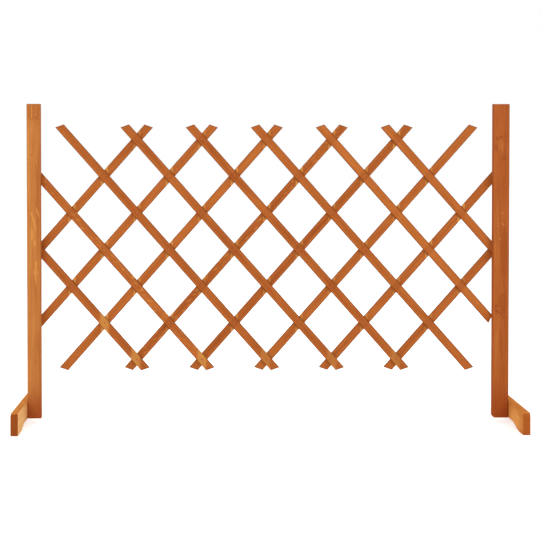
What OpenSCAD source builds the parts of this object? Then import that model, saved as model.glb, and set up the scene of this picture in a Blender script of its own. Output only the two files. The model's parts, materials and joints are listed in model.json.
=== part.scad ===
// Expanding trellis fence: slats riveted at every crossing fold like lazy tongs between two
// posts that stand on arched feet.
// Origin: on the floor, in the middle of the whole fence. +X runs to the right as seen from the
// front, +Z is up and the front faces -Y. Lengths are in millimetres.

/* [Lattice] */
// Distance between neighbouring rivets along a slat
rivet_pitch = 139; // [120:1:145]
// Lean of every slat from upright as the fence stands, in degrees
slat_lean = 41.5; // [36:0.5:48]
// Width of a slat
slat_w = 23.5; // [18:0.5:26]
// Thickness of a slat
slat_t = 6; // [4:0.5:8]
// Length of slat above its top rivet
top_overhang = 51; // [35:1:60]
// Length of slat below its bottom rivet
bottom_overhang = 36; // [30:1:50]
// Length of the short slats past the pivot on the post
pivot_overhang = 30; // [20:1:32]
// Length of the slats that end behind a post past the line of its pivot
post_overhang = 10; // [4:1:20]
// How far the one clipped slat stops before the line of the right pivot
clipped_gap = 13; // [0:1:20]
// Saw cut of the slat ends, in degrees off square
end_cut = 22; // [0:1:30]
// Gap between two wooden faces that slide past each other
slide_gap = 0.4; // [0.3:0.05:0.6]

/* [Posts] */
// Height of the post tops above the floor
overall_h = 900; // [860:5:1000]
// Height of the post bottoms above the floor
post_lift = 12; // [0:1:20]
// Width of the left post
left_post_w = 39; // [36:1:55]
// Width of the right post
right_post_w = 47; // [36:1:55]
// Depth of both posts from front to back
post_d = 20; // [20:1:30]
// Rounding of the long edges of the left post
left_edge_r = 2.5; // [1:0.5:4.5]
// Rounding of the long edges of the right post
right_edge_r = 4; // [1:0.5:4.5]
// Rounding of the worn lower inner corner of the right post
worn_corner_r = 9; // [2:0.5:10]
// Height of the two pivots above the floor
pivot_h = 488; // [470:1:500]
// Distance of a pivot from the inner edge of its post
pivot_inset = 7; // [7:0.5:12]

/* [Feet] */
// Length of a foot from front to back
foot_l = 400; // [340:5:480]
// Height of a foot
foot_h = 60; // [50:1:80]
// Thickness of a foot
foot_t = 20; // [16:1:24]
// Rounding of the upper corners of a foot
foot_corner_r = 12; // [4:1:20]
// Length of the pad at each end that rests on the floor
pad_l = 52; // [40:1:65]
// Height of the arch under a foot
arch_rise = 12; // [6:1:16]
// Length over which the arch rises from a pad, in a flat S
arch_run = 90; // [60:1:100]

/* [Rivets] */
// Diameter of a rivet's shank
rivet_d = 3.5; // [2.5:0.1:4.5]
// Diameter of a rivet's head, at the back
rivet_head_d = 7; // [6:0.5:9]
// Height of a rivet's head
rivet_head_h = 1.4; // [1:0.1:2]
// Diameter of a rivet's peened tail, at the front
rivet_tail_d = 4.8; // [4.6:0.1:6]
// Height of a rivet's peened tail
rivet_tail_h = 0.6; // [0.4:0.05:0.9]
// Clearance all round a shank in a slat
shank_play = 0.06; // [0.03:0.01:0.1]
// Gap between a head and the slat that turns under it
head_gap = 0.2; // [0.1:0.05:0.3]

/* [Pivot screws] */
// Diameter of a pivot screw
pivot_screw_d = 4; // [3:0.25:4.5]
// Diameter of its round head
pivot_head_d = 8; // [7:0.5:10]
// Height of its round head
pivot_head_h = 2.6; // [2.2:0.1:3.2]
// Depth of the screw in the post
pivot_grip = 15; // [10:0.5:17]
// Diameter of the washer under the head
washer_d = 12; // [11:0.5:16]
// Thickness of that washer
washer_t = 1; // [0.6:0.1:1.6]

/* [Foot screws] */
// Diameter of a foot screw
foot_screw_d = 4; // [3:0.25:5]
// Length of a foot screw
foot_screw_l = 42; // [36:1:45]
// Diameter of its countersunk head
foot_head_d = 8; // [7:0.5:10]
// Clearance all round a screw in the wood
screw_play = 0.05; // [0.03:0.01:0.1]

/* [Hidden] */
// Counts of the lattice: rivet columns and rows, and slats in each layer
columns = 14;
rows = 6;
mid_row = rows / 2;
slats = 8;
left_end = 0;
right_end = slats - 1;

// Rivet columns and rows as the fence stands
column_step = rivet_pitch * sin(slat_lean);
row_step = rivet_pitch * cos(slat_lean);
left_pivot_x = -(columns * column_step + right_post_w - left_post_w) / 2;
right_pivot_x = left_pivot_x + columns * column_step;

// Layers from front to back
post_back_y = post_d / 2;
front_slat_y = post_back_y + slide_gap;
rear_slat_y = front_slat_y + slat_t + slide_gap;
lattice_back_y = rear_slat_y + slat_t;
head_y = lattice_back_y + head_gap;
washer_back_y = head_y + washer_t;

// Posts and feet
post_l = overall_h - post_lift;
left_post_x = left_pivot_x + pivot_inset - left_post_w;
right_post_x = right_pivot_x - pivot_inset;
left_foot_x = left_post_x - foot_t;
right_foot_x = right_post_x + right_post_w;
arch_l = foot_l - 2 * pad_l;
arch_flat_l = arch_l - 2 * arch_run;

// Foot screws stand at these shares of the height that a foot and its post have in common
screw_height_shares = [0.25, 0.75];
foot_screw_z = [for (s = screw_height_shares) post_lift + s * (foot_h - post_lift)];
countersink_h = (foot_head_d - foot_screw_d) / 2;
tip_l = foot_screw_d;

// Cross recess of a screw head, as shares of the head's diameter
recess_length_share = 0.56;
recess_width_share = 0.13;
recess_depth_share = 0.16;

// How far a cut runs past the face that it opens
overrun = 1;

// Steps to the full circle, and along each curve of the arch
$fn = 48;
arch_steps = 16;

stain = "#B8602A";
pale_stain = "#C87D3E";
dark_stain = "#A85624";
zinc = "#B9BBBC";
stained_steel = "#8A5A32";

function numbered(name) = [for (i = [left_end:right_end]) str(name, i + 1)];

// Places on the lattice: column 0 is the left pivot's, row 0 is the top one
function column_x(column) = left_pivot_x + column * column_step;
function row_z(row) = pivot_h + (mid_row - row) * row_step;

// A front slat runs down to the right, so column - row is the same all along it.
// A rear slat runs down to the left, so column + row is the same all along it.
function front_line(i) = 2 * i - mid_row;
function rear_line(i) = 2 * i + mid_row;
function slat_column(side, i, row) = side < 0 ? front_line(i) + row : rear_line(i) - row;
function top_row(side, i) = max(0, side < 0 ? -front_line(i) : rear_line(i) - columns);
function bottom_row(side, i) = min(rows, side < 0 ? columns - front_line(i) : rear_line(i));

// Two slats cross here, one of each layer
function crossed(column, row) =
    column - row >= front_line(left_end) && column - row <= front_line(right_end)
    && column + row >= rear_line(left_end) && column + row <= rear_line(right_end);
function at_post(column) = column == 0 || column == columns;

// Length of a slat past its first or last row, and whether that end is free or behind a post
function is_free(row) = row == 0 || row == rows;
function clipped(side, i, row) = side < 0 && i == right_end - 1 && !is_free(row);
function overhang(side, i, row) =
    row == 0 ? top_overhang
    : row == rows ? bottom_overhang
    : row == mid_row ? pivot_overhang
    : clipped(side, i, row) ? -clipped_gap
    : post_overhang;
function cut_turn(row) = is_free(row) ? 1 : -1;

// A round bar or hole from front to back
module along_y(from_y, to_y, r) {
    translate([0, from_y, 0])
        rotate([-90, 0, 0])
            cylinder(h = to_y - from_y, r = r);
}

// A low dome that stands on the plane Z = 0
module button(d, h) {
    dome_r = (d * d / 4 + h * h) / (2 * h);
    rotate_extrude()
        intersection() {
            translate([0, h - dome_r])
                circle(dome_r);
            square([d / 2, h]);
        }
}

// Cross recess, sunk from the plane Z = 0
module cross_recess(head_d) {
    arm_l = recess_length_share * head_d;
    arm_w = recess_width_share * head_d;
    depth = recess_depth_share * head_d;
    for (turn = [0, 90])
        rotate([0, 0, turn])
            translate([0, 0, (overrun - depth) / 2])
                cube([arm_l, arm_w, depth + overrun], center = true);
}

// One slat of the front layer (side -1) or the rear layer (side 1), drilled at its crossings
module slat(side, i) {
    first = top_row(side, i);
    last = bottom_row(side, i);
    top = overhang(side, i, first);
    bottom = -(last - first) * rivet_pitch - overhang(side, i, last);
    half_w = slat_w / 2;
    top_skew = side * cut_turn(first) * half_w * tan(end_cut);
    bottom_skew = side * cut_turn(last) * half_w * tan(end_cut);
    face_y = side < 0 ? front_slat_y : rear_slat_y;
    translate([column_x(slat_column(side, i, first)), 0, row_z(first)])
        rotate([0, side * slat_lean, 0])
            difference() {
                translate([0, face_y + slat_t, 0])
                    rotate([90, 0, 0])
                        linear_extrude(slat_t)
                            polygon([
                                [-half_w, top - top_skew],
                                [half_w, top + top_skew],
                                [half_w, bottom + bottom_skew],
                                [-half_w, bottom - bottom_skew]
                            ]);
                for (row = [first:last]) {
                    column = slat_column(side, i, row);
                    bar_d = at_post(column) ? pivot_screw_d : rivet_d;
                    if (crossed(column, row))
                        translate([0, 0, -(row - first) * rivet_pitch])
                            along_y(face_y - overrun, face_y + slat_t + overrun, bar_d / 2 + shank_play);
                }
            }
}

module front_slat(i) {
    color(stain) slat(-1, i);
}

module rear_slat(i) {
    color(stain) slat(1, i);
}

// One rivet: peened tail in front of the front slat, shank, and head behind the rear slat
module rivet() {
    translate([0, front_slat_y, 0])
        rotate([90, 0, 0])
            button(rivet_tail_d, rivet_tail_h);
    along_y(front_slat_y, head_y, rivet_d / 2);
    translate([0, head_y, 0])
        rotate([-90, 0, 0])
            button(rivet_head_d, rivet_head_h);
}

// The rivets that one front slat carries
module rivets(i) {
    color(stained_steel)
        for (row = [top_row(-1, i):bottom_row(-1, i)]) {
            column = slat_column(-1, i, row);
            if (crossed(column, row) && !at_post(column))
                translate([column_x(column), 0, row_z(row)])
                    rivet();
        }
}

// Rounded plan of a post, from the corner at the origin
module post_plan(w, edge_r) {
    translate([edge_r, 0])
        square([w - 2 * edge_r, post_d]);
    translate([0, edge_r])
        square([w, post_d - 2 * edge_r]);
    for (x = [edge_r, w - edge_r], y = [edge_r, post_d - edge_r])
        translate([x, y])
            circle(edge_r);
}

// A post with its left edge at x, drilled for its pivot screw and its foot screws
module post(x, w, edge_r, pivot_x, foot_side) {
    outer_x = foot_side < 0 ? x : x + w;
    reach = foot_screw_l - foot_t;
    difference() {
        translate([x, -post_back_y, post_lift])
            linear_extrude(post_l)
                post_plan(w, edge_r);
        translate([pivot_x, 0, pivot_h])
            along_y(post_back_y - pivot_grip, post_back_y + overrun, pivot_screw_d / 2 + screw_play);
        for (z = foot_screw_z)
            translate([outer_x, 0, z])
                rotate([0, -90 * foot_side, 0])
                    translate([0, 0, -overrun])
                        cylinder(h = reach + overrun, r = foot_screw_d / 2 + screw_play);
    }
}

module left_post() {
    color(pale_stain) post(left_post_x, left_post_w, left_edge_r, left_pivot_x, -1);
}

// The right post has lost its lower inner corner to wear
module right_post() {
    color(dark_stain)
        difference() {
            post(right_post_x, right_post_w, right_edge_r, right_pivot_x, 1);
            translate([right_post_x, 0, post_lift])
                difference() {
                    translate([-overrun, -post_d, -overrun])
                        cube([worn_corner_r + overrun, 2 * post_d, worn_corner_r + overrun]);
                    translate([worn_corner_r, 0, worn_corner_r])
                        along_y(-post_d - overrun, post_d + overrun, worn_corner_r);
                }
        }
}

// A point on the arch, from its level middle (step 0) down to the pad at one end
function arch_point(end, step) =
    let (s = step / arch_steps)
    [end * (arch_flat_l / 2 + s * arch_run), arch_rise * (1 + cos(180 * s)) / 2];

// The space under a foot: level in the middle, with a flat S down to each pad
module arch() {
    polygon(concat(
        [[-arch_l / 2, -overrun]],
        [for (step = [arch_steps:-1:0]) arch_point(-1, step)],
        [for (step = [0:arch_steps]) arch_point(1, step)],
        [[arch_l / 2, -overrun]]
    ));
}

// Side view of a foot, standing on the floor
module foot_profile() {
    difference() {
        union() {
            translate([-foot_l / 2, 0])
                square([foot_l, foot_h - foot_corner_r]);
            translate([foot_corner_r - foot_l / 2, 0])
                square([foot_l - 2 * foot_corner_r, foot_h]);
            for (end = [-1, 1])
                translate([end * (foot_l / 2 - foot_corner_r), foot_h - foot_corner_r])
                    circle(foot_corner_r);
        }
        arch();
    }
}

// Shank and countersunk head of a foot screw with its head at Z = 0, pointing down
module foot_screw_body(play) {
    translate([0, 0, tip_l - foot_screw_l])
        cylinder(h = foot_screw_l - tip_l, r = foot_screw_d / 2 + play);
    translate([0, 0, -countersink_h])
        cylinder(h = countersink_h, r1 = foot_screw_d / 2 + play, r2 = foot_head_d / 2 + play);
}

// Places a foot screw's axis through a foot at each height, head at the outer face
module at_foot_screws(foot_x, side) {
    outer_x = side < 0 ? foot_x : foot_x + foot_t;
    for (z = foot_screw_z)
        translate([outer_x, 0, z])
            rotate([0, 90 * side, 0])
                children();
}

module foot(foot_x, side) {
    color(stain)
        difference() {
            translate([foot_x, 0, 0])
                rotate([90, 0, 90])
                    linear_extrude(foot_t)
                        foot_profile();
            at_foot_screws(foot_x, side)
                foot_screw_body(screw_play);
        }
}

module foot_screws(foot_x, side) {
    color(zinc)
        at_foot_screws(foot_x, side)
            difference() {
                union() {
                    foot_screw_body(0);
                    translate([0, 0, -foot_screw_l])
                        cylinder(h = tip_l, r1 = 0, r2 = foot_screw_d / 2);
                }
                cross_recess(foot_head_d);
            }
}

// Round-headed screw through the middle crossing into the back of a post
module pivot_screw(x) {
    color(zinc)
        translate([x, 0, pivot_h])
            difference() {
                union() {
                    along_y(post_back_y - pivot_grip, washer_back_y, pivot_screw_d / 2);
                    translate([0, washer_back_y, 0])
                        rotate([-90, 0, 0])
                            button(pivot_head_d, pivot_head_h);
                }
                translate([0, washer_back_y + pivot_head_h, 0])
                    rotate([-90, 0, 0])
                        cross_recess(pivot_head_d);
            }
}

module pivot_washer(x) {
    color(zinc)
        translate([x, 0, pivot_h])
            difference() {
                along_y(head_y, washer_back_y, washer_d / 2);
                along_y(head_y - overrun, washer_back_y + overrun, pivot_screw_d / 2 + screw_play);
            }
}

left_post();
right_post();
foot(left_foot_x, -1);  // left_foot
foot(right_foot_x, 1);  // right_foot
for (i = [left_end:right_end]) {
    front_slat(i);
    rear_slat(i);
    rivets(i);
}
pivot_screw(left_pivot_x);  // left_pivot_screw
pivot_screw(right_pivot_x);  // right_pivot_screw
pivot_washer(left_pivot_x);  // left_pivot_washer
pivot_washer(right_pivot_x);  // right_pivot_washer
foot_screws(left_foot_x, -1);  // left_foot_screws
foot_screws(right_foot_x, 1);  // right_foot_screws
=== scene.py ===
"""Looks of a free-standing expanding trellis fence.

The boards are stained fir with eased edges, the rivets are steel under the same stain and the
screws are zinc plated. Lengths are in metres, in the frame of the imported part: +X to the right as
seen from the front, +Z up, front towards -Y.
"""

import json
import math
import random
from types import SimpleNamespace

import bmesh
import bpy
from bpy.props import FloatProperty, FloatVectorProperty, PointerProperty
from mathutils import Matrix, Vector


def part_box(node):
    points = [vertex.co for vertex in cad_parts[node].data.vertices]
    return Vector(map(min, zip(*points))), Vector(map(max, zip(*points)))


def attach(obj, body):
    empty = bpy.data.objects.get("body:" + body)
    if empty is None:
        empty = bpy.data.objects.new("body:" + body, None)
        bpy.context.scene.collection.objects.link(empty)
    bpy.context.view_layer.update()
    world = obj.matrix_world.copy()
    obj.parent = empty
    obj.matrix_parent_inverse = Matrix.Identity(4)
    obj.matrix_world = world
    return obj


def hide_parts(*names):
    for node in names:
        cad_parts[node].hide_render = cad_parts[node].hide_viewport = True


bl_info = {
    "name": "Expanding trellis fence",
    "version": (1, 0, 0),
    "blender": (4, 5, 0),
    "location": "View3D > Sidebar > Trellis",
    "description": "Dresses an expanding trellis fence in stained fir and plated steel",
    "category": "Object",
}

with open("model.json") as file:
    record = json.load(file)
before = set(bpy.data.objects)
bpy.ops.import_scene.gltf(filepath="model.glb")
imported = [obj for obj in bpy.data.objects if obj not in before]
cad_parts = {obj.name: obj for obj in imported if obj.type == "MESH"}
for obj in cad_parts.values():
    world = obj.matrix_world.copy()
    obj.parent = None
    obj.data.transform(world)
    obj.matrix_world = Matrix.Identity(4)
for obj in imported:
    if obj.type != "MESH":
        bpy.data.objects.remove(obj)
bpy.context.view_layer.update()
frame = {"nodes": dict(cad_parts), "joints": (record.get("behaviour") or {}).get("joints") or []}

# The lattice, read from the joints: its left pivot, and one step of one column right and one row up
JOINT_PLACES = {joint["name"]: Vector(joint["pos_m"]) for joint in frame["joints"]}
LEFT_PIVOT = JOINT_PLACES["fold"]
STEP = JOINT_PLACES["front_slat_2_turn"] - LEFT_PIVOT
PITCH = STEP.length
COLUMNS = round((JOINT_PLACES["right_post_turn"].x - LEFT_PIVOT.x) / STEP.x)
SLATS = COLUMNS // 2 + 1
# Steps from the top row of crossings to the lowest
ROWS = 6
MID_ROW = ROWS // 2
SLAT_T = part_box("front_slat_1")[1].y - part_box("front_slat_1")[0].y
ACROSS = Vector((STEP.z, 0, STEP.x)).normalized()
SLAT_EDGES = [v.co.dot(ACROSS) for v in frame["nodes"]["front_slat_1"].data.vertices]
SLAT_W = max(SLAT_EDGES) - min(SLAT_EDGES)

# Angle between crossing slats as the fence stands, and while its stain dried
OPEN_ANGLE = 2 * math.atan2(STEP.x, STEP.z)
STAINED_ANGLE = math.radians(46)
# A Wave texture in rings repeats after this length in its own units
WAVE_PERIOD = 2 * math.pi / 20
# Edges whose faces turn by more than this are sharp
SHARP = math.radians(40)
# Faces turned no further than this from a board's end show end grain
END_GRAIN_TURN = math.cos(math.radians(60))
# Slack for points that are level with the top of a post
TINY = 1e-5
# Points of a mesh that are closer than this are one
ONE_POINT = 1e-6
# Gap between a rivet's head and the slat that turns under it
HEAD_GAP = 0.0002
# The right post's lower inner corner is worn round within this height
WORN_CORNER = 0.0095
# Edges round a screw hole are shorter than this, and all others on a foot are longer
SCREW_RIM_STEP = 0.001
# Faces of a post and of a foot whose normal has a part this large along one axis are flat
POST_FLAT = 0.999
FOOT_FLAT = 0.9999

# How far the growth rings of a log wander, and the length and the width of it over which they do
RING_DRIFT = 0.009
DRIFT_LENGTH = 0.45
DRIFT_WIDTH = 0.045
# Boards come from chance places along this length of timber, between these distances from its heart,
# and were sawn up to this angle out of line with it
TIMBER_LENGTH = 40
NEAR_HEART = 0.04
FAR_FROM_HEART = 0.11
SAWN_LEAN = 0.02
# Depth of the grain that can be felt, and of the hammer marks on a rivet
GRAIN_DEPTH = 0.0003
HAMMER_DEPTH = 0.0002
# Streaks of a wavy grain: their length, width and slant
FLAME_LENGTH = 0.02
FLAME_WIDTH = 0.0045
FLAME_SLANT = math.radians(14)
# Hammer marks on a rivet and clouds on a zinc coat, drawn several times too coarse so that they show
RIVET_MOTTLE = 0.0011
ZINC_CLOUD = 0.0017

# How far in from a slat's edges the warm band and the dark line of its stain are full, and are gone
GLOW_FULL = 0.004
GLOW_GONE = 0.0075
LINE_FULL = 0.0008
LINE_GONE = 0.003
# A mark on one face of a slat is full down to the first depth below it and gone at the second
FACE_FULL = 0.0003
FACE_GONE = 0.0009
# Soft edges of what crossing slats left: how far they reach out past the slat's own edge and in from
# it, for the strip that a slat covered, the stain that pooled over one and the wider strips low down
STRIP_OUT = 0.0008
STRIP_IN = 0.0014
POOL_OUT = 0.004
POOL_IN = 0.006
WIDE_OUT = 0.006
WIDE_IN = 0.003
# Wider strips lie aside by a chance length between these two, and a pale wedge is dimmed by painted shade
# within this distance of the slat that crosses it
ASIDE_MIN = -0.002
ASIDE_MAX = 0.008
WEDGE_SHADE_REACH = 0.005

# Slats that took more stain (below 0) or less than chance gives, and slats with a wavy grain
SLAT_SHADES = {
    "front_slat_3": -0.6, "front_slat_5": -0.7, "front_slat_7": 2.0, "front_slat_8": 1.2,
    "rear_slat_2": 0.8, "rear_slat_3": 1.2, "rear_slat_4": -1.1, "rear_slat_5": -1.2, "rear_slat_7": 0.4,
}
CURLY_SLATS = {"front_slat_2": 0.6, "rear_slat_4": 0.6}
# How bare the front of a slat is at its lowest crossing, and where more than one crossing is bare
BARE_ENDS = {"front_slat_1": 0.7, "front_slat_2": 0.65}
BARE_END = 0.36
BARE_CROSSINGS = {"front_slat_1": 2}

# Ragged edges of the marks on a post: the size of the rags, and how far they reach along and across
RAGGED_STEP = 0.009
RAGGED_ALONG = 0.006
RAGGED_ACROSS = 0.003
# Half width of the painted highlight, a light line where the rounding of a post's edge starts, and of its
# core
ROUNDING_HIGHLIGHT = 0.0012
HIGHLIGHT_CORE = 0.0002
# Stain that ran down a post shows from the first height downwards and is full at the second
RUN_TOP = 0.12
RUN_FULL = 0.02
# Marks on the posts. A spot has its height above the floor, its place right of the middle, its half
# length and its half width. A stroke has the height and place of both its ends and its half width.
# The edge stain is partly painted shade on a post's rounded edges, and the edge line is a painted
# highlight where each rounding starts.
LEFT_POST = {
    "edge_w": 0.003,
    "edge_highlight": 0.35,
    "sapwood": 0.16,
    "edge_stain": 0.05,
    "thin_stain": 0.3,
    "deep_spots": [(0.9, 0.0, 0.05, 0.06), (0.64, 0.016, 0.2, 0.010)],
    "knots": [(0.757, -0.006, 0.006, 0.003)],
    "thin_spots": [(0.76, -0.014, 0.12, 0.006), (0.49, -0.004, 0.15, 0.012), (0.24, -0.006, 0.12, 0.01)],
    "lines": [(0.859, -0.018, 0.859, 0.016, 0.001)],
    "streaks": [
        (0.896, -0.005, 0.862, -0.006, 0.0017), (0.895, 0.006, 0.866, 0.007, 0.0011),
        (0.609, 0.005, 0.583, 0.016, 0.002), (0.593, -0.007, 0.545, 0.006, 0.003),
        (0.545, -0.006, 0.518, -0.004, 0.003), (0.512, 0.001, 0.506, 0.003, 0.005),
        (0.454, 0.006, 0.420, 0.008, 0.004), (0.436, 0.000, 0.418, 0.003, 0.002),
        (0.418, 0.004, 0.391, 0.007, 0.003),
    ],
    "nicks": [(0.737, 0.0065, 0.733, 0.0085, 0.0014)],
}
RIGHT_POST = {
    "edge_w": 0.0048,
    "edge_highlight": 0.3,
    "sapwood": 0.17,
    "edge_stain": 0.6,
    "thin_stain": 0.2,
    "deep_spots": [(0.48, 0.010, 0.085, 0.013), (0.338, 0.006, 0.034, 0.016)],
    "knots": [
        (0.778, -0.016, 0.020, 0.010), (0.802, -0.011, 0.010, 0.010), (0.808, -0.001, 0.007, 0.007),
        (0.747, 0.008, 0.008, 0.010), (0.329, -0.013, 0.008, 0.010),
    ],
    "thin_spots": [
        (0.782, 0.0, 0.024, 0.010), (0.5, -0.011, 0.16, 0.008), (0.28, -0.010, 0.04, 0.009),
        (0.2, -0.010, 0.12, 0.011),
    ],
    "lines": [(0.318, -0.013, 0.304, 0.003, 0.004), (0.296, 0.004, 0.295, 0.019, 0.002)],
    "streaks": [],
    "nicks": [
        (0.596, 0.002, 0.593, 0.005, 0.0016), (0.563, 0.001, 0.559, 0.008, 0.0012),
        (0.521, -0.004, 0.517, -0.002, 0.0014),
    ],
}
# The look of a foot's inner side is full down to the first depth below it and gone at the second
INNER_FULL = 0.0002
INNER_GONE = 0.0016
# Where the inner side of a foot is barely stained and painted paler still as painted light on that side:
# place from its middle and up, half length, half height
LEFT_FOOT_PALE_LIT = [(0.18, -0.01, 0.2, 0.1)]
RIGHT_FOOT_PALE_LIT = [(0.09, -0.01, 0.1, 0.045)]
# Soft lamps at both sides of the camera and one behind the fence, all aimed at its middle
LAMP_PLACES = (Vector((-2.2, -2.6, 2.4)), Vector((2.2, -2.6, 2.4)), Vector((0, 3.2, 2.4)))
LAMP_AIM = Vector((0, 0, 0.45))
# How strongly the floor shines where it is looked at
FLOOR_GLOW = 0.52


def srgb(code):
    """Linear colour of an sRGB hex value."""
    shares = [int(code[i:i + 2], 16) / 255 for i in (0, 2, 4)]
    return [s / 12.92 if s <= 0.04045 else ((s + 0.055) / 1.055) ** 2.4 for s in shares] + [1.0]


def colour(name, description, code):
    """A colour that a user can change, given as an sRGB hex value."""
    return FloatVectorProperty(
        name=name, description=description, subtype="COLOR", size=4, min=0, max=1, default=srgb(code)
    )


def length(name, description, metres):
    """A length that a user can change."""
    return FloatProperty(
        name=name, description=description, subtype="DISTANCE", unit="LENGTH", precision=5, min=0,
        default=metres,
    )


class TrellisFir(bpy.types.PropertyGroup):
    """Colours and grain of the stained wood."""

    slat_light: colour("Slat light", "Slat wood where the stain is thin", "C67132")
    slat_dark: colour("Slat dark", "Slat wood where the stain is deep", "9B4A1B")
    slat_line: colour("Slat edge line", "Stain that gathered along the edges of a slat", "7C3A12")
    slat_glow: colour("Slat lower edge", "Warmer wood along the lower edge of a slat", "C46823")
    slat_flame: colour("Slat figure", "Bright streaks where the grain of a slat waves", "E8984A")
    rubbed: colour("Rubbed wood", "Bare wood that another slat covered while the stain went on", "E2A050")
    # The left post's light colour is also the colour of the painted highlight along the edges of both posts
    left_light: colour("Left post light", "Left post where the stain is thin", "D18744")
    left_dark: colour("Left post dark", "Left post where the stain is deep", "AE5F28")
    right_light: colour("Right post light", "Right post where the stain is thin", "BC642A")
    right_dark: colour("Right post dark", "Right post where the stain is deep", "9C4A1A")
    # The post bottom colour also gives the painted shade on the rounded edges of both posts
    post_foot: colour("Post bottom", "Stain that ran down and gathered at a post's bottom", "A24A1A")
    knot: colour("Knot", "Heart of a knot", "8A3F16")
    foot_light: colour("Foot light", "Foot board where the stain is thin", "E09243")
    foot_dark: colour("Foot dark", "Foot board where the stain is deep", "C2702E")
    # The inner sides are barely stained, and their colours are painted paler still as painted light on
    # those sides
    left_inner_light: colour("Left inside light", "Barely stained inner side of the left foot", "FFCE8E")
    left_inner_dark: colour("Left inside dark", "Grain on the inner side of the left foot", "EEA85E")
    right_inner_light: colour("Right inside light", "Thinly stained inner side of the right foot", "FFBC6C")
    right_inner_dark: colour("Right inside dark", "Grain on the inner side of the right foot", "EC9A4C")
    end_light: colour("End grain light", "Sawn ends where they took less stain", "AA561E")
    end_dark: colour("End grain dark", "Sawn ends where they drank the stain", "8A4014")
    ring_gap: length("Ring spacing", "Distance between two growth rings", 0.0026)
    fibre_w: length("Fibre width", "Width of the streaks of fibre, drawn coarse enough to show", 0.0028)
    fibre_l: length("Fibre length", "Length of the streaks of fibre", 0.16)
    blotch: length("Stain blotch", "Size of the patches where the stain took unevenly", 0.035)


class TrellisBoards(bpy.types.PropertyGroup):
    """Sizes of the boards' edges and of the fasteners."""

    slat_arris: length("Slat edge", "Rounding of a slat's sawn edges", 0.0009)
    post_arris: length("Post end edge", "Rounding round the ends of a post", 0.0012)
    foot_arris: length("Foot edge", "Rounding of a foot's edges", 0.0008)
    rivet_head: length("Rivet head", "Diameter of a rivet's head, at the back", 0.007)
    rivet_tail: length("Rivet tail", "Diameter of a rivet's peened tail, at the front", 0.0048)
    rivet_shank: length("Rivet shank", "Diameter of a rivet's shank", 0.0035)


class TrellisStage(bpy.types.PropertyGroup):
    """Camera, lamps and floor."""

    camera_place: FloatVectorProperty(
        name="Camera place", description="Where the camera stands", subtype="TRANSLATION",
        unit="LENGTH", default=(-0.1424, -3.9471, 0.7542),
    )
    camera_down: FloatProperty(
        name="Camera tilt", description="How far the camera looks down", subtype="ANGLE",
        unit="ROTATION", default=math.radians(1.364),
    )
    camera_right: FloatProperty(
        name="Camera turn", description="How far the camera looks to the right", subtype="ANGLE",
        unit="ROTATION", default=math.radians(0.597),
    )
    camera_lens: FloatProperty(
        name="Lens", description="Focal length in millimetres", subtype="DISTANCE_CAMERA", unit="CAMERA",
        default=93.19, min=1,
    )
    camera_shift: FloatVectorProperty(
        name="Lens shift", description="Shift of the lens, as a share of the picture", size=2,
        default=(0.0693, -0.15),
    )
    lamp_power: FloatProperty(
        name="Lamps", description="Power of each soft lamp", subtype="POWER", unit="POWER", default=34.0,
        min=0,
    )
    lamp_size: length("Lamp size", "Diameter of each soft lamp", 2.0)
    room_light: FloatProperty(
        name="Room light", description="Strength of the even light from all round", default=0.66, min=0
    )
    floor_side: length("Floor", "Side of the square floor", 60.0)


def put(tree, kind, inputs=(), **settings):
    """Adds a node, sets it up, fills or links its inputs and returns its outputs."""
    made = tree.nodes.new("ShaderNode" + kind)
    for name, value in settings.items():
        setattr(made, name, value)
    for key, value in dict(inputs).items():
        if isinstance(value, bpy.types.NodeSocket):
            tree.links.new(value, made.inputs[key])
        else:
            made.inputs[key].default_value = value
    return made.outputs


def empty_material(name):
    """A new material with an empty node tree."""
    material = bpy.data.materials.new(name)
    material.use_nodes = True
    material.node_tree.nodes.clear()
    return material, material.node_tree


# The sockets of a Mix node that takes colours
MIX_A, MIX_B, MIXED = 6, 7, 2


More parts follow.
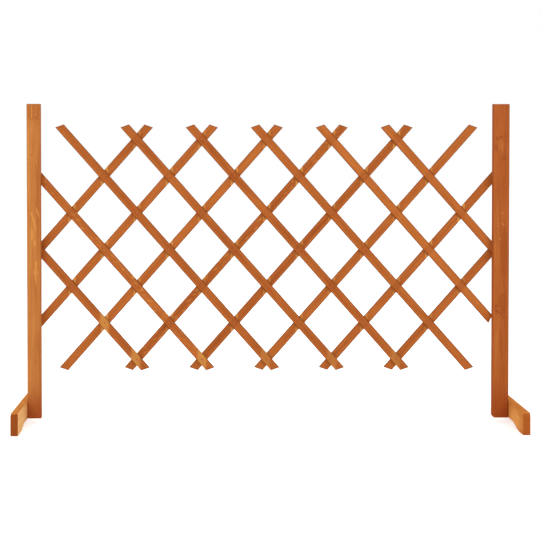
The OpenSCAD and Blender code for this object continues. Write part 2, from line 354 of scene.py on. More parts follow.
def fir_grain(tree, fir):
    """Grain of sawn fir: growth rings, streaks of fibre and blotches of stain.

    Returns how light the wood is, from 0 to 1, and the height of its surface. Rings read the place
    in the log that a board was sawn from, so they run through its faces and out at its ends.
    """
    log = put(tree, "Attribute", attribute_name="log")["Vector"]
    tone = put(tree, "Attribute", attribute_name="tone")["Fac"]
    wander = (1 / DRIFT_LENGTH, 1 / DRIFT_WIDTH, 1 / DRIFT_WIDTH)
    slow = put(tree, "VectorMath", {0: log, 1: wander}, operation="MULTIPLY")["Vector"]
    drift = put(tree, "TexNoise", {"Vector": slow, "Scale": 1.0, "Detail": 2.0})["Color"]
    bent = put(
        tree, "VectorMath", {0: drift, 1: (0, RING_DRIFT, RING_DRIFT), 2: log}, operation="MULTIPLY_ADD"
    )["Vector"]
    rings = put(
        tree, "TexWave", {"Vector": bent, "Scale": WAVE_PERIOD / fir.ring_gap},
        wave_type="RINGS", rings_direction="X", wave_profile="SAW",
    )["Fac"]
    late = put(
        tree, "MapRange", {"Value": rings, "From Min": 0.3, "From Max": 0.95},
        interpolation_type="SMOOTHSTEP",
    )["Result"]
    long_way = (1 / fir.fibre_l, 1 / fir.fibre_w, 1 / fir.fibre_w)
    along = put(tree, "VectorMath", {0: log, 1: long_way}, operation="MULTIPLY")["Vector"]
    fibre = put(
        tree, "TexNoise", {"Vector": along, "Scale": 1.0, "Detail": 3.0, "Roughness": 0.62}
    )["Fac"]
    patch = (0.4 / fir.blotch, 1.6 / fir.blotch, 1.6 / fir.blotch)
    wide = put(tree, "VectorMath", {0: log, 1: patch}, operation="MULTIPLY")["Vector"]
    blotch = put(tree, "TexNoise", {"Vector": wide, "Scale": 1.0, "Detail": 3.0})["Fac"]
    light = put(tree, "Math", {0: tone, 1: 0.14, 2: -0.62}, operation="MULTIPLY_ADD")[0]
    light = put(tree, "Math", {0: late, 1: -0.16, 2: light}, operation="MULTIPLY_ADD")[0]
    light = put(tree, "Math", {0: fibre, 1: 1.45, 2: light}, operation="MULTIPLY_ADD")[0]
    light = put(tree, "Math", {0: blotch, 1: 0.95, 2: light}, operation="MULTIPLY_ADD", use_clamp=True)[0]
    height = put(tree, "Math", {0: late, 1: 0.35, 2: fibre}, operation="MULTIPLY_ADD")[0]
    return light, height


def satin_stain(tree, colour_socket, height, rough=0.66, gloss=0.15):
    """Closes a wood material: a thin satin stain that leaves the grain to be felt."""
    bump = put(tree, "Bump", {"Height": height, "Strength": 0.5, "Distance": GRAIN_DEPTH})["Normal"]
    sheen = put(
        tree, "MapRange", {"Value": height, "From Min": 0.3, "From Max": 1.0,
                           "To Min": rough + 0.1, "To Max": rough - 0.05},
    )["Result"]
    surface = put(
        tree, "BsdfPrincipled",
        {"Base Color": colour_socket, "Roughness": sheen, "Normal": bump, "IOR": 1.45,
         "Specular IOR Level": gloss},
    )["BSDF"]
    put(tree, "OutputMaterial", {"Surface": surface})


def edge_stain(tree, fir, wood, across):
    """Stain near the edges of a slat: a warm band along both, and a dark line all round."""
    half = SLAT_W / 2
    off_middle = put(tree, "Math", {0: across}, operation="ABSOLUTE")[0]
    warm = put(
        tree, "MapRange", {"Value": off_middle, "From Min": half - GLOW_GONE, "From Max": half - GLOW_FULL},
        interpolation_type="SMOOTHSTEP",
    )["Result"]
    downward = put(
        tree, "MapRange",
        {"Value": across, "From Min": -half, "From Max": half, "To Min": 0.75, "To Max": 0.4},
    )["Result"]
    warm = put(tree, "Math", {0: warm, 1: downward}, operation="MULTIPLY")[0]
    wood = put(tree, "Mix", {0: warm, MIX_A: wood, MIX_B: fir.slat_glow}, data_type="RGBA")[MIXED]

    to_edge = put(tree, "Math", {0: half, 1: off_middle}, operation="SUBTRACT")[0]
    ends = put(tree, "Attribute", attribute_name="ends")["Vector"]
    for to_end in put(tree, "SeparateXYZ", {0: ends})[:2]:
        to_edge = put(tree, "Math", {0: to_edge, 1: to_end}, operation="MINIMUM")[0]
    gathered = put(
        tree, "MapRange", {"Value": to_edge, "From Min": LINE_GONE, "From Max": LINE_FULL, "To Max": 0.85},
        interpolation_type="SMOOTHSTEP",
    )["Result"]
    return put(tree, "Mix", {0: gathered, MIX_A: wood, MIX_B: fir.slat_line}, data_type="RGBA")[MIXED]


def wavy_grain(tree, fir, wood, board):
    """Bright, slanting streaks on the few slats whose grain waves."""
    curl = put(tree, "Attribute", attribute_name="curl")["Fac"]
    wavy = put(
        tree, "Mapping",
        {"Vector": board, "Rotation": (0, 0, FLAME_SLANT), "Scale": (FLAME_LENGTH, FLAME_WIDTH, 1)},
        vector_type="TEXTURE",
    )["Vector"]
    flame = put(tree, "TexNoise", {"Vector": wavy, "Scale": 1.0, "Detail": 1.0})["Fac"]
    flame = put(
        tree, "MapRange", {"Value": flame, "From Min": 0.58, "From Max": 0.72},
        interpolation_type="SMOOTHSTEP",
    )["Result"]
    flame = put(tree, "Math", {0: flame, 1: curl}, operation="MULTIPLY")[0]
    return put(tree, "Mix", {0: flame, MIX_A: wood, MIX_B: fir.slat_flame}, data_type="RGBA")[MIXED]


def nearest_crossing(tree, along, across):
    """What each point of a slat needs to know of the crossing nearest to it.

    off_slat is how far the point lies from the middle line of the crossing slat as that stands now.
    past_strip is how far, and to which side, it lies from that line while the stain dried. chance is
    a random value of the crossing's own. The others are 1 or 0: after and before tell that it comes
    after the start and before the end of the marked crossings, and low_down that it may be bare.
    """
    nearest = put(tree, "Math", {0: along, 1: PITCH / 2, 2: -PITCH / 2}, operation="WRAP")[0]
    spot = put(tree, "CombineXYZ", {0: nearest, 1: across})[0]
    open_normal = (math.sin(OPEN_ANGLE), math.cos(OPEN_ANGLE), 0)
    past_slat = put(tree, "VectorMath", {0: spot, 1: open_normal}, operation="DOT_PRODUCT")["Value"]
    closed_normal = (math.sin(STAINED_ANGLE), math.cos(STAINED_ANGLE), 0)
    number = put(tree, "Math", {0: along, 1: PITCH}, operation="DIVIDE")[0]
    number = put(tree, "Math", {0: number}, operation="ROUND")[0]
    tone = put(tree, "Attribute", attribute_name="tone")["Fac"]
    seed = put(tree, "CombineXYZ", {0: number, 1: tone})[0]
    crossed = put(tree, "Attribute", attribute_name="crossed")["Vector"]
    first, last, bare_from = put(tree, "SeparateXYZ", {0: crossed})[:]
    return SimpleNamespace(
        off_slat=put(tree, "Math", {0: past_slat}, operation="ABSOLUTE")[0],
        past_strip=put(tree, "VectorMath", {0: spot, 1: closed_normal}, operation="DOT_PRODUCT")["Value"],
        chance=put(tree, "TexWhiteNoise", {"Vector": seed}, noise_dimensions="3D")["Value"],
        after=put(tree, "Math", {0: number, 1: first}, operation="GREATER_THAN")[0],
        before=put(tree, "Math", {0: number, 1: last}, operation="LESS_THAN")[0],
        low_down=put(tree, "Math", {0: number, 1: bare_from}, operation="GREATER_THAN")[0],
    )


def pale_wedges(tree, fir, wood, mating, crossing):
    """Wood that another slat covered, seen as pale wedges beside the crossings of the inner faces, dimmed
    by painted shade next to the slat that crosses them.
    """
    half = SLAT_W / 2
    face = SLAT_T / 2
    off_strip = put(tree, "Math", {0: crossing.past_strip}, operation="ABSOLUTE")[0]
    strip = put(
        tree, "MapRange", {"Value": off_strip, "From Min": half + STRIP_OUT, "From Max": half - STRIP_IN},
        interpolation_type="SMOOTHSTEP",
    )["Result"]
    inside = put(
        tree, "MapRange", {"Value": mating, "From Min": face - FACE_GONE, "From Max": face - FACE_FULL},
    )["Result"]
    strength = put(tree, "MapRange", {"Value": crossing.chance, "To Min": 0.3, "To Max": 0.85})["Result"]
    # Painted shade: the pale wedge fades next to the slat that crosses it
    wedge_shade = put(
        tree, "MapRange",
        {"Value": crossing.off_slat, "From Min": half, "From Max": half + WEDGE_SHADE_REACH, "To Min": 0.25},
        interpolation_type="SMOOTHSTEP",
    )["Result"]
    worn = put(tree, "Math", {0: strip, 1: inside}, operation="MULTIPLY")[0]
    for share in (crossing.after, crossing.before, strength, wedge_shade):
        worn = put(tree, "Math", {0: worn, 1: share}, operation="MULTIPLY")[0]
    return put(tree, "Mix", {0: worn, MIX_A: wood, MIX_B: fir.rubbed}, data_type="RGBA")[MIXED]


def pooled_and_bare(tree, fir, wood, light, mating, crossing):
    """Outer faces at the crossings: stain that pooled there, and bare wood at the lowest ones."""
    half = SLAT_W / 2
    face = SLAT_T / 2
    outside = put(
        tree, "MapRange", {"Value": mating, "From Min": FACE_GONE - face, "From Max": FACE_FULL - face},
    )["Result"]
    pooled = put(
        tree, "MapRange",
        {"Value": crossing.off_slat, "From Min": half + POOL_OUT, "From Max": half - POOL_IN},
        interpolation_type="SMOOTHSTEP",
    )["Result"]
    pooling = put(tree, "MapRange", {"Value": crossing.chance, "To Min": 0.55, "To Max": 0.1})["Result"]
    for share in (outside, crossing.after, crossing.before, pooling):
        pooled = put(tree, "Math", {0: pooled, 1: share}, operation="MULTIPLY")[0]
    wood = put(tree, "Mix", {0: pooled, MIX_A: wood, MIX_B: fir.slat_dark}, data_type="RGBA")[MIXED]

    aside = put(
        tree, "MapRange", {"Value": crossing.chance, "To Min": ASIDE_MIN, "To Max": ASIDE_MAX}
    )["Result"]
    off_strip = put(tree, "Math", {0: crossing.past_strip, 1: aside}, operation="ADD")[0]
    off_strip = put(tree, "Math", {0: off_strip}, operation="ABSOLUTE")[0]
    wide_strip = put(
        tree, "MapRange", {"Value": off_strip, "From Min": half + WIDE_OUT, "From Max": half - WIDE_IN},
        interpolation_type="SMOOTHSTEP",
    )["Result"]
    bared = put(tree, "Attribute", attribute_name="bared")["Fac"]
    streaky = put(tree, "MapRange", {"Value": light, "To Min": 0.6, "To Max": 1.0})["Result"]
    bare = put(tree, "Math", {0: outside, 1: wide_strip}, operation="MULTIPLY")[0]
    for share in (crossing.low_down, crossing.before, bared, streaky):
        bare = put(tree, "Math", {0: bare, 1: share}, operation="MULTIPLY")[0]
    return put(tree, "Mix", {0: bare, MIX_A: wood, MIX_B: fir.rubbed}, data_type="RGBA")[MIXED]


def slat_fir(fir):
    """Fir lath, sawn and dipped in an orange stain.

    The stain gathered along the edges. Where two slats lay on each other at a sharper angle while it
    dried, the wood under them stayed pale, and shows beside each crossing now that the fence is open.
    On the outer faces the stain pooled over the crossings, but the lowest ones were covered by wider
    strips there and stayed bare.
    """
    material, tree = empty_material("stained fir slat")
    light, height = fir_grain(tree, fir)
    wood = put(
        tree, "Mix", {0: light, MIX_A: fir.slat_dark, MIX_B: fir.slat_light}, data_type="RGBA"
    )[MIXED]
    board = put(tree, "Attribute", attribute_name="board")["Vector"]
    along, across, mating = put(tree, "SeparateXYZ", {0: board})[:]
    wood = edge_stain(tree, fir, wood, across)
    wood = wavy_grain(tree, fir, wood, board)
    crossing = nearest_crossing(tree, along, across)
    wood = pale_wedges(tree, fir, wood, mating, crossing)
    wood = pooled_and_bare(tree, fir, wood, light, mating, crossing)
    satin_stain(tree, wood, height)
    return material


def spots(tree, board, places, core=0.3):
    """Soft oval spots on a board, each given by its place along and across and its half sizes."""
    total = 0.0
    for along, across, half_l, half_w in places:
        off = put(tree, "VectorMath", {0: board, 1: (along, across, 0)}, operation="SUBTRACT")["Vector"]
        share = (1 / half_l, 1 / half_w, 0)
        off = put(tree, "VectorMath", {0: off, 1: share}, operation="MULTIPLY")["Vector"]
        far = put(tree, "VectorMath", {0: off}, operation="LENGTH")["Value"]
        spot = put(
            tree, "MapRange", {"Value": far, "From Min": 1.0, "From Max": core},
            interpolation_type="SMOOTHSTEP",
        )["Result"]
        total = put(tree, "Math", {0: spot, 1: total}, operation="MAXIMUM")[0]
    return total


def strokes(tree, board, ends):
    """Soft strokes on a board, each given by its two ends, along and across, and half its width."""
    total = 0.0
    for *start, end_along, end_across, half_w in ends:
        way = Vector((end_along, end_across)) - Vector(start)
        off = put(tree, "VectorMath", {0: board, 1: (*start, 0)}, operation="SUBTRACT")["Vector"]
        off = put(tree, "VectorMath", {0: off, 1: (1, 1, 0)}, operation="MULTIPLY")["Vector"]
        per_length = (way / way.length_squared).to_3d()
        passed = put(tree, "VectorMath", {0: off, 1: per_length}, operation="DOT_PRODUCT")["Value"]
        passed = put(tree, "Clamp", {"Value": passed})["Result"]
        nearest = put(tree, "VectorMath", {0: way.to_3d(), "Scale": passed}, operation="SCALE")["Vector"]
        far = put(tree, "VectorMath", {0: off, 1: nearest}, operation="DISTANCE")["Value"]
        stroke = put(
            tree, "MapRange", {"Value": far, "From Min": half_w, "From Max": half_w * 0.2},
            interpolation_type="SMOOTHSTEP",
        )["Result"]
        total = put(tree, "Math", {0: stroke, 1: total}, operation="MAXIMUM")[0]
    return total


def post_figure(tree, fir, wood, dark_stain, height, torn, marks):
    """Face of a post: deeper and thinner stain in places, shining streaks of resin, and knots."""
    deep = spots(tree, torn, marks["deep_spots"], core=0.7)
    deep = put(tree, "Math", {0: deep, 1: 0.45}, operation="MULTIPLY")[0]
    wood = put(tree, "Mix", {0: deep, MIX_A: wood, MIX_B: dark_stain}, data_type="RGBA")[MIXED]

    thin = spots(tree, torn, marks["thin_spots"])
    streak = put(
        tree, "MapRange",
        {"Value": height, "From Min": 0.5, "From Max": 0.75, "To Max": marks["thin_stain"]},
        interpolation_type="SMOOTHSTEP",
    )["Result"]
    thin = put(tree, "Math", {0: thin, 1: streak}, operation="MULTIPLY")[0]
    wood = put(tree, "Mix", {0: thin, MIX_A: wood, MIX_B: fir.rubbed}, data_type="RGBA")[MIXED]

    resin = strokes(tree, torn, marks["streaks"])
    glint = put(
        tree, "MapRange",
        {"Value": height, "From Min": 0.35, "From Max": 0.7, "To Min": 0.3, "To Max": 0.95},
    )["Result"]
    resin = put(tree, "Math", {0: resin, 1: glint}, operation="MULTIPLY")[0]
    wood = put(tree, "Mix", {0: resin, MIX_A: wood, MIX_B: fir.slat_flame}, data_type="RGBA")[MIXED]

    heart = spots(tree, torn, marks["knots"], core=0.0)
    heart = put(tree, "Math", {0: heart, 1: strokes(tree, torn, marks["lines"])}, operation="MAXIMUM")[0]
    heart = put(tree, "Math", {0: heart, 1: 0.6}, operation="MULTIPLY")[0]
    return put(tree, "Mix", {0: heart, MIX_A: wood, MIX_B: fir.knot}, data_type="RGBA")[MIXED]


def post_edges(tree, fir, wood, across, half_w, marks):
    """Darker edges on a post, partly stain and partly painted shade on the roundings, and a painted
    highlight, a thin light line, where each rounding starts.
    """
    off_middle = put(tree, "Math", {0: across}, operation="ABSOLUTE")[0]
    rounding = half_w - marks["edge_w"]
    # Painted shade, with some stain, on the rounded edges
    edge = put(
        tree, "MapRange",
        {"Value": off_middle, "From Min": rounding, "From Max": half_w - marks["edge_w"] / 2,
         "To Max": marks["edge_stain"]}, interpolation_type="SMOOTHSTEP",
    )["Result"]
    wood = put(tree, "Mix", {0: edge, MIX_A: wood, MIX_B: fir.post_foot}, data_type="RGBA")[MIXED]
    # Painted highlight: a thin light line where each rounding starts
    off_highlight = put(tree, "Math", {0: off_middle, 1: rounding}, operation="SUBTRACT")[0]
    off_highlight = put(tree, "Math", {0: off_highlight}, operation="ABSOLUTE")[0]
    line = put(
        tree, "MapRange",
        {"Value": off_highlight, "From Min": ROUNDING_HIGHLIGHT, "From Max": HIGHLIGHT_CORE,
         "To Max": marks["edge_highlight"]},
    )["Result"]
    return put(tree, "Mix", {0: line, MIX_A: wood, MIX_B: fir.left_light}, data_type="RGBA")[MIXED]


def post_fir(fir, name, light_stain, dark_stain, half_w, marks):
    """Planed fir post, brushed with an orange stain that ran down and gathered at its bottom.

    The wood is paler towards its left edge, where it was sawn from the sapwood. All marks on it have
    ragged edges. A few nicks in the front go down to bare wood.
    """
    material, tree = empty_material(name)
    light, height = fir_grain(tree, fir)
    board = put(tree, "Attribute", attribute_name="board")["Vector"]
    across, front = put(tree, "SeparateXYZ", {0: board})[1:]
    sapwood = marks["sapwood"]
    paler = put(
        tree, "MapRange",
        {"Value": across, "From Min": -half_w, "From Max": half_w, "To Min": sapwood, "To Max": -sapwood},
    )["Result"]
    light = put(tree, "Math", {0: light, 1: paler}, operation="ADD", use_clamp=True)[0]
    wood = put(tree, "Mix", {0: light, MIX_A: dark_stain, MIX_B: light_stain}, data_type="RGBA")[MIXED]

    rough = put(tree, "TexNoise", {"Vector": board, "Scale": 1 / RAGGED_STEP, "Detail": 3.0})["Color"]
    reach = Vector((RAGGED_ALONG, RAGGED_ACROSS, 0))
    torn = put(tree, "VectorMath", {0: rough, 1: 2 * reach, 2: board}, operation="MULTIPLY_ADD")["Vector"]
    torn = put(tree, "VectorMath", {0: torn, 1: reach}, operation="SUBTRACT")["Vector"]
    wood = post_figure(tree, fir, wood, dark_stain, height, torn, marks)
    # Painted shade and a painted highlight on the rounded edges
    wood = post_edges(tree, fir, wood, across, half_w, marks)

    ragged = put(tree, "SeparateXYZ", {0: torn})[0]
    run_down = put(
        tree, "MapRange", {"Value": ragged, "From Min": RUN_TOP, "From Max": RUN_FULL, "To Max": 0.8},
        interpolation_type="SMOOTHSTEP",
    )["Result"]
    wood = put(tree, "Mix", {0: run_down, MIX_A: wood, MIX_B: fir.post_foot}, data_type="RGBA")[MIXED]

    bare = strokes(tree, torn, marks["nicks"])
    on_front = put(tree, "Math", {0: front, 1: 0.0}, operation="GREATER_THAN")[0]
    bare = put(tree, "Math", {0: bare, 1: on_front}, operation="MULTIPLY")[0]
    pale = put(tree, "Math", {0: bare, 1: 0.75}, operation="MULTIPLY")[0]
    wood = put(tree, "Mix", {0: pale, MIX_A: wood, MIX_B: fir.rubbed}, data_type="RGBA")[MIXED]
    height = put(tree, "Math", {0: bare, 1: -2.0, 2: height}, operation="MULTIPLY_ADD")[0]

    satin_stain(tree, wood, height)
    return material


def foot_fir(fir, name, pale_light, pale_dark, half_t, pale_lit_spots):
    """Fir foot board. Much of its inner side was barely reached by the stain and shows its grain, and is
    painted paler still, as painted light on that side.
    """
    material, tree = empty_material(name)
    light, height = fir_grain(tree, fir)
    wood = put(
        tree, "Mix", {0: light, MIX_A: fir.foot_dark, MIX_B: fir.foot_light}, data_type="RGBA"
    )[MIXED]
    pale = put(tree, "Mix", {0: light, MIX_A: pale_dark, MIX_B: pale_light}, data_type="RGBA")[MIXED]
    board = put(tree, "Attribute", attribute_name="board")["Vector"]
    along, upward, inward = put(tree, "SeparateXYZ", {0: board})[:]
    from_middle = put(tree, "Math", {0: along}, operation="ABSOLUTE")[0]
    place = put(tree, "CombineXYZ", {0: from_middle, 1: upward})[0]
    bare = spots(tree, place, pale_lit_spots)
    bare = put(tree, "MapRange", {"Value": bare, "To Min": 0.15, "To Max": 1.0})["Result"]
    inner = put(
        tree, "MapRange",
        {"Value": inward, "From Min": half_t - INNER_GONE, "From Max": half_t - INNER_FULL},
    )["Result"]
    inner = put(tree, "Math", {0: inner, 1: bare}, operation="MULTIPLY")[0]
    # Paler inner side: barely stained wood, made paler still as painted light
    wood = put(tree, "Mix", {0: inner, MIX_A: wood, MIX_B: pale}, data_type="RGBA")[MIXED]
    satin_stain(tree, wood, height, rough=0.8, gloss=0.03)
    return material


def rivet_steel(fir):
    """Steel rivet under a film of stain, dulled by hammering."""
    material, tree = empty_material("stained steel rivet")
    place = put(tree, "TexCoord")["Object"]
    mottle = put(tree, "TexNoise", {"Vector": place, "Scale": 1 / RIVET_MOTTLE, "Detail": 2.0})["Fac"]
    film = put(
        tree, "Mix", {0: mottle, MIX_A: fir.slat_dark, MIX_B: fir.slat_light}, data_type="RGBA"
    )[MIXED]
    bump = put(tree, "Bump", {"Height": mottle, "Strength": 0.5, "Distance": HAMMER_DEPTH})["Normal"]
    surface = put(
        tree, "BsdfPrincipled",
        {"Base Color": film, "Metallic": 0.7, "Roughness": 0.42, "Normal": bump},
    )["BSDF"]
    put(tree, "OutputMaterial", {"Surface": surface})
    return material


def zinc_plate():
    """Zinc plated steel: a bright, slightly cloudy grey."""
    material, tree = empty_material("zinc plated steel")
    place = put(tree, "TexCoord")["Object"]
    cloud = put(tree, "TexNoise", {"Vector": place, "Scale": 1 / ZINC_CLOUD, "Detail": 3.0})["Fac"]
    grey = put(
        tree, "Mix", {0: cloud, MIX_A: srgb("A9ABA8"), MIX_B: srgb("D6D7D2")}, data_type="RGBA"
    )[MIXED]
    rough = put(tree, "MapRange", {"Value": cloud, "To Min": 0.25, "To Max": 0.45})["Result"]
    surface = put(
        tree, "BsdfPrincipled", {"Base Color": grey, "Metallic": 1.0, "Roughness": rough}
    )["BSDF"]
    put(tree, "OutputMaterial", {"Surface": surface})
    return material


def end_grain_fir(fir, light_stain, dark_stain):
    """Sawn ends of the boards. End grain drinks the stain, so it is darker and duller."""
    material, tree = empty_material("stained fir end grain")
    light, height = fir_grain(tree, fir)
    wood = put(tree, "Mix", {0: light, MIX_A: dark_stain, MIX_B: light_stain}, data_type="RGBA")[MIXED]
    satin_stain(tree, wood, height, rough=0.8)
    return material


def seen_backdrop(tree):
    """1 where the backdrop is looked at, straight or in a reflection, and 0 where it lights the fence."""
    path = put(tree, "LightPath")
    seen = put(tree, "Math", {0: path["Is Camera Ray"], 1: path["Is Glossy Ray"]}, operation="MAXIMUM")[0]
    return put(tree, "Math", {0: seen, 1: path["Is Transmission Ray"]}, operation="MAXIMUM")[0]


def floor_paper():
    """White studio paper, which shines a little where it is looked at, but keeps a soft shadow."""
    material, tree = empty_material("white paper floor")
    glow = put(tree, "Math", {0: seen_backdrop(tree), 1: FLOOR_GLOW}, operation="MULTIPLY")[0]
    surface = put(
        tree, "BsdfPrincipled",
        {"Base Color": srgb("EDEDEC"), "Roughness": 0.9, "Emission Color": srgb("FFFFFF"),
         "Emission Strength": glow},
    )["BSDF"]
    put(tree, "OutputMaterial", {"Surface": surface})
    return material


def merged_copy(node):
    """A bmesh of a node's own shape, with its triangles joined to whole faces."""
    bm = bmesh.new()
    bm.from_mesh(frame["nodes"][node].data)
    bmesh.ops.remove_doubles(bm, verts=bm.verts, dist=ONE_POINT)
    bmesh.ops.dissolve_limit(bm, angle_limit=math.radians(0.5), verts=bm.verts, edges=bm.edges)
    for face in bm.faces:
        face.smooth = False
    return bm


def is_sharp(edge):
    return edge.calc_face_angle(0) > SHARP


def shade(bm, flat):
    """Shades the rounded faces of a board smooth, and leaves the flat ones."""
    for face in bm.faces:
        face.smooth = max(abs(c) for c in face.normal) < flat


def ease(bm, edges, radius):
    """Rounds sawn edges."""
    made = bmesh.ops.bevel(
        bm, geom=edges, offset=radius, offset_type="OFFSET", affect="EDGES", segments=3, profile=0.5,
        material=-1, clamp_overlap=True,
    )
    for face in made["faces"]:
        face.smooth = True


def board_axes(origin, along, across, face):
    """Matrix from the fence to a board: its length, its width and out of its face."""
    return Matrix((along, across, face)).to_4x4() @ Matrix.Translation(-origin)


def log_axes(rng):
    """Matrix from a board to the log that it was sawn from, whose heart runs along X."""
    turn = rng.uniform(0, 2 * math.pi)
    off_heart = rng.uniform(NEAR_HEART, FAR_FROM_HEART)
    heart = Vector((rng.uniform(0, TIMBER_LENGTH), off_heart * math.cos(turn), off_heart * math.sin(turn)))
    lean = Matrix.Rotation(rng.uniform(-SAWN_LEAN, SAWN_LEAN), 4, "Z")
    lean = lean @ Matrix.Rotation(rng.uniform(-SAWN_LEAN, SAWN_LEAN), 4, "Y")
    return Matrix.Translation(heart) @ lean


def add_piece(bm, name, node, body, materials):
    """Makes an object of a bmesh, which stands for a node and rides its body."""
    mesh = bpy.data.meshes.new(name)
    bm.to_mesh(mesh)
    bm.free()
    for material in materials:
        mesh.materials.append(material)
    piece = bpy.data.objects.new(name, mesh)
    bpy.context.scene.collection.objects.link(piece)
    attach(piece, body)
    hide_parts(node)


def add_board(bm, node, body, materials, axes):
    """Makes a board of a bmesh: end grain on its ends, and its places on the board and in the log."""
    rng = random.Random(node)
    to_log = log_axes(rng)
    lightness = SLAT_SHADES.get(node, rng.uniform(-1, 1))
    length_way = axes.to_3x3().row[0]
    for face in bm.faces:
        face.material_index = int(abs(face.normal.dot(length_way)) > END_GRAIN_TURN)
    board = bm.verts.layers.float_vector.new("board")
    log = bm.verts.layers.float_vector.new("log")
    tone = bm.verts.layers.float.new("tone")
    for vert in bm.verts:
        vert[board] = axes @ vert.co
        vert[log] = to_log @ vert[board]
        vert[tone] = lightness
    add_piece(bm, f"{node}_board", node, body, materials)


def riveted_rows(number, side):
    """Rows of a slat's rivets, counted down its length from the row of the pivots."""
    column = 2 * (number - 1)
    return [
        row for row in range(-MID_ROW, MID_ROW + 1)
        if 1 <= number + side * row <= SLATS and 0 < column + side * row < COLUMNS
    ]


def sawn_ends(bm, along):
    """Middle and normal of the faces at both ends of a slat."""
    ends = []
    for way in (-along, along):
        facing = [face for face in bm.faces if face.normal.dot(way) > END_GRAIN_TURN]
        end = max(facing, key=bmesh.types.BMFace.calc_area)
        ends.append((end.calc_center_median(), end.normal.copy()))
    return ends


class TRELLIS_OT_slats(bpy.types.Operator):
    """Make the slats of both layers"""

    bl_idname = "trellis.slats"
    bl_label = "Slats"

    def execute(self, context):
        fir = context.scene.trellis_fir
        materials = [slat_fir(fir), end_grain_fir(fir, fir.end_light, fir.end_dark)]
        for layer, side in (("front", 1), ("rear", -1)):
            along = Vector((side * STEP.x, 0, -STEP.z)).normalized()
            across = Vector((side * STEP.z, 0, STEP.x)).normalized()
            mating = Vector((0, side, 0))
            for number in range(1, SLATS + 1):
                node = f"{layer}_slat_{number}"
                low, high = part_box(node)
                column = 2 * (number - 1)
                origin = Vector((LEFT_PIVOT.x + column * STEP.x, (low.y + high.y) / 2, LEFT_PIVOT.z))
                riveted = riveted_rows(number, side)
                # A rear slat has no wedges at its lowest crossing
                last = riveted[-1] if side > 0 else min(riveted[-1], MID_ROW - 1)
                bare_from = MID_ROW + 1 - BARE_CROSSINGS.get(node, 1)
                bm = merged_copy(node)
                cuts = sawn_ends(bm, along)
                outline = [e for e in bm.edges if is_sharp(e) and e.calc_length() > SLAT_T / 2]
                ease(bm, outline, context.scene.trellis_boards.slat_arris)
                axes = board_axes(origin, along, across, mating)
                crossed = bm.verts.layers.float_vector.new("crossed")
                ends = bm.verts.layers.float_vector.new("ends")
                curl = bm.verts.layers.float.new("curl")
                bared = bm.verts.layers.float.new("bared")
                for vert in bm.verts:
                    vert[crossed] = (riveted[0] - 0.5, last + 0.5, bare_from - 0.5)
                    vert[ends] = (*((middle - vert.co).dot(out) for middle, out in cuts), 0)
                    vert[curl] = CURLY_SLATS.get(node, 0.0)
                    vert[bared] = BARE_ENDS.get(node, BARE_END) if side > 0 else 0.0
                add_board(bm, node, node, materials, axes)
        return {"FINISHED"}


class TRELLIS_OT_posts(bpy.types.Operator):
    """Make the two posts"""

    bl_idname = "trellis.posts"
    bl_label = "Posts"

    def execute(self, context):
        fir = context.scene.trellis_fir
        ends = end_grain_fir(fir, fir.end_light, fir.end_dark)
        for side, marks in (("left", LEFT_POST), ("right", RIGHT_POST)):
            node = f"{side}_post"
            low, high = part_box(node)
            half_w = (high.x - low.x) / 2
            stain = getattr(fir, f"{side}_light"), getattr(fir, f"{side}_dark")
            wood = post_fir(fir, f"stained fir {side} post", *stain, half_w, marks)
            bm = merged_copy(node)
            shade(bm, POST_FLAT)
            rim = [
                e for e in bm.edges if is_sharp(e) and all(
                    v.co.z < low.z + WORN_CORNER or v.co.z > high.z - TINY for v in e.verts
                )
            ]
            ease(bm, rim, context.scene.trellis_boards.post_arris)
            middle = Vector(((low.x + high.x) / 2, (low.y + high.y) / 2, 0))
            axes = board_axes(middle, Vector((0, 0, 1)), Vector((1, 0, 0)), Vector((0, -1, 0)))
            add_board(bm, node, f"{side}_stand", [wood, ends], axes)
        return {"FINISHED"}


class TRELLIS_OT_feet(bpy.types.Operator):
    """Make the two arched feet"""

    bl_idname = "trellis.feet"
    bl_label = "Feet"

    def execute(self, context):
        fir = context.scene.trellis_fir
        left_end = end_grain_fir(fir, fir.end_light, fir.end_dark)
        right_end = end_grain_fir(fir, fir.right_light, fir.end_light)
        for side, inward, pale_lit_spots, ends in (
            ("left", 1, LEFT_FOOT_PALE_LIT, left_end), ("right", -1, RIGHT_FOOT_PALE_LIT, right_end),
        ):
            inner = getattr(fir, f"{side}_inner_light"), getattr(fir, f"{side}_inner_dark")
            node = f"{side}_foot"
            low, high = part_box(node)
            wood = foot_fir(fir, f"stained fir {side} foot", *inner, (high.x - low.x) / 2, pale_lit_spots)
            bm = merged_copy(node)
            shade(bm, FOOT_FLAT)
            outline = [e for e in bm.edges if is_sharp(e) and e.calc_length() > SCREW_RIM_STEP]
            ease(bm, outline, context.scene.trellis_boards.foot_arris)
            middle = (low + high) / 2
            axes = board_axes(middle, Vector((0, -1, 0)), Vector((0, 0, 1)), Vector((inward, 0, 0)))
            add_board(bm, node, f"{side}_stand", [wood, ends], axes)
        return {"FINISHED"}


def dome(radius, base, crown, steps=6):
    """Points (radius, depth) of a low dome's outline from its rim to its crown."""
    turns = [math.pi / 2 * step / steps for step in range(steps + 1)]
    return [(radius * math.cos(a), base + (crown - base) * math.sin(a)) for a in turns]


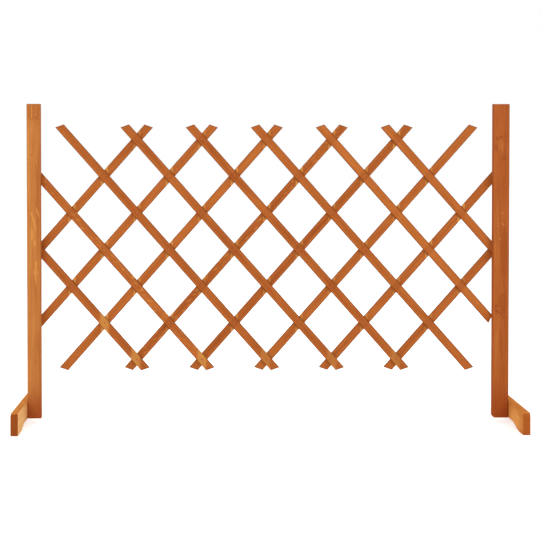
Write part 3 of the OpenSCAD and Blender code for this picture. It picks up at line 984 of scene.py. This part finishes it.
class TRELLIS_OT_rivets(bpy.types.Operator):
    """Make the rivets, one at each crossing between the posts"""

    bl_idname = "trellis.rivets"
    bl_label = "Rivets"

    def execute(self, context):
        sizes = context.scene.trellis_boards
        steel = rivet_steel(context.scene.trellis_fir)
        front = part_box("front_slat_1")[0].y
        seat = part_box("rear_slat_1")[1].y
        low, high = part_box("rivets_1")
        shank = sizes.rivet_shank / 2
        tail = dome(sizes.rivet_tail / 2, front, low.y)
        head = dome(sizes.rivet_head / 2, seat + HEAD_GAP, high.y)
        outline = [*reversed(tail), (shank, front), (shank, seat + HEAD_GAP), *head]
        for number in range(1, SLATS + 1):
            bm = bmesh.new()
            for row in range(ROWS + 1):
                column = 2 * (number - 1) - MID_ROW + row
                crossing = (column + row - MID_ROW) // 2
                if not (0 < column < COLUMNS and 0 <= crossing < SLATS):
                    continue
                x = LEFT_PIVOT.x + column * STEP.x
                z = LEFT_PIVOT.z + (MID_ROW - row) * STEP.z
                points = [bm.verts.new((x + r, y, z)) for r, y in outline]
                lines = [bm.edges.new(pair) for pair in zip(points, points[1:])]
                bmesh.ops.spin(
                    bm, geom=points + lines, cent=(x, 0, z), axis=(0, 1, 0), angle=2 * math.pi, steps=24,
                    use_merge=True,
                )
            bmesh.ops.remove_doubles(bm, verts=bm.verts, dist=ONE_POINT)
            bmesh.ops.recalc_face_normals(bm, faces=bm.faces)
            for face in bm.faces:
                face.smooth = True
            for edge in bm.edges:
                edge.smooth = not is_sharp(edge)
            node = f"rivets_{number}"
            add_piece(bm, f"{node}_set", node, f"front_slat_{number}", [steel])
        return {"FINISHED"}


class TRELLIS_OT_screws(bpy.types.Operator):
    """Plate the pivot screws, their washers and the foot screws"""

    bl_idname = "trellis.screws"
    bl_label = "Screws and washers"

    def execute(self, context):
        zinc = zinc_plate()
        for side in ("left", "right"):
            for kind in ("pivot_screw", "pivot_washer", "foot_screws"):
                mesh = frame["nodes"][f"{side}_{kind}"].data
                mesh.materials.clear()
                mesh.materials.append(zinc)
        return {"FINISHED"}


class TRELLIS_OT_stage(bpy.types.Operator):
    """Set the camera, the lamps and the floor"""

    bl_idname = "trellis.stage"
    bl_label = "Stage"

    def execute(self, context):
        scene = context.scene
        stage = scene.trellis_stage
        scene.view_settings.view_transform = "Standard"

        lens = bpy.data.cameras.new("camera")
        lens.lens = stage.camera_lens
        lens.shift_x, lens.shift_y = stage.camera_shift
        camera = bpy.data.objects.new("camera", lens)
        camera.location = stage.camera_place
        camera.rotation_euler = (math.pi / 2 - stage.camera_down, 0, -stage.camera_right)
        scene.collection.objects.link(camera)
        scene.camera = camera

        for place in LAMP_PLACES:
            lamp = bpy.data.lights.new("soft_lamp", "AREA")
            lamp.shape = "DISK"
            lamp.size = stage.lamp_size
            lamp.energy = stage.lamp_power
            stand = bpy.data.objects.new("soft_lamp", lamp)
            stand.location = place
            stand.rotation_euler = (LAMP_AIM - stand.location).to_track_quat("-Z", "Y").to_euler()
            scene.collection.objects.link(stand)

        scene.world = bpy.data.worlds.new("studio")
        scene.world.use_nodes = True
        tree = scene.world.node_tree
        tree.nodes.clear()
        strength = put(
            tree, "MapRange", {"Value": seen_backdrop(tree), "To Min": stage.room_light, "To Max": 1.0}
        )["Result"]
        air = put(tree, "Background", {"Color": srgb("FFFFFF"), "Strength": strength})["Background"]
        put(tree, "OutputWorld", {"Surface": air})

        bm = bmesh.new()
        bmesh.ops.create_grid(bm, x_segments=1, y_segments=1, size=stage.floor_side / 2)
        mesh = bpy.data.meshes.new("floor")
        bm.to_mesh(mesh)
        bm.free()
        mesh.materials.append(floor_paper())
        floor = bpy.data.objects.new("floor", mesh)
        scene.collection.objects.link(floor)
        return {"FINISHED"}


OPERATORS = (
    TRELLIS_OT_slats, TRELLIS_OT_posts, TRELLIS_OT_feet, TRELLIS_OT_rivets, TRELLIS_OT_screws,
    TRELLIS_OT_stage,
)


class TRELLIS_PT_fence(bpy.types.Panel):
    """Lists the steps that dress the fence"""

    bl_idname = "TRELLIS_PT_fence"
    bl_label = "Trellis fence"
    bl_space_type = "VIEW_3D"
    bl_region_type = "UI"
    bl_category = "Trellis"

    def draw(self, context):
        for operator in OPERATORS:
            self.layout.operator(operator.bl_idname)


GROUPS = {
    "trellis_fir": TrellisFir,
    "trellis_boards": TrellisBoards,
    "trellis_stage": TrellisStage,
}


def register():
    for group in GROUPS.values():
        bpy.utils.register_class(group)
    for name, group in GROUPS.items():
        setattr(bpy.types.Scene, name, PointerProperty(type=group))
    for made in (*OPERATORS, TRELLIS_PT_fence):
        bpy.utils.register_class(made)


def unregister():
    for made in (TRELLIS_PT_fence, *reversed(OPERATORS)):
        bpy.utils.unregister_class(made)
    for name in GROUPS:
        delattr(bpy.types.Scene, name)
    for group in GROUPS.values():
        bpy.utils.unregister_class(group)


def main():
    register()
    bpy.ops.trellis.slats()
    bpy.ops.trellis.posts()
    bpy.ops.trellis.feet()
    bpy.ops.trellis.rivets()
    bpy.ops.trellis.screws()
    bpy.ops.trellis.stage()


if __name__ == "__main__":
    main()
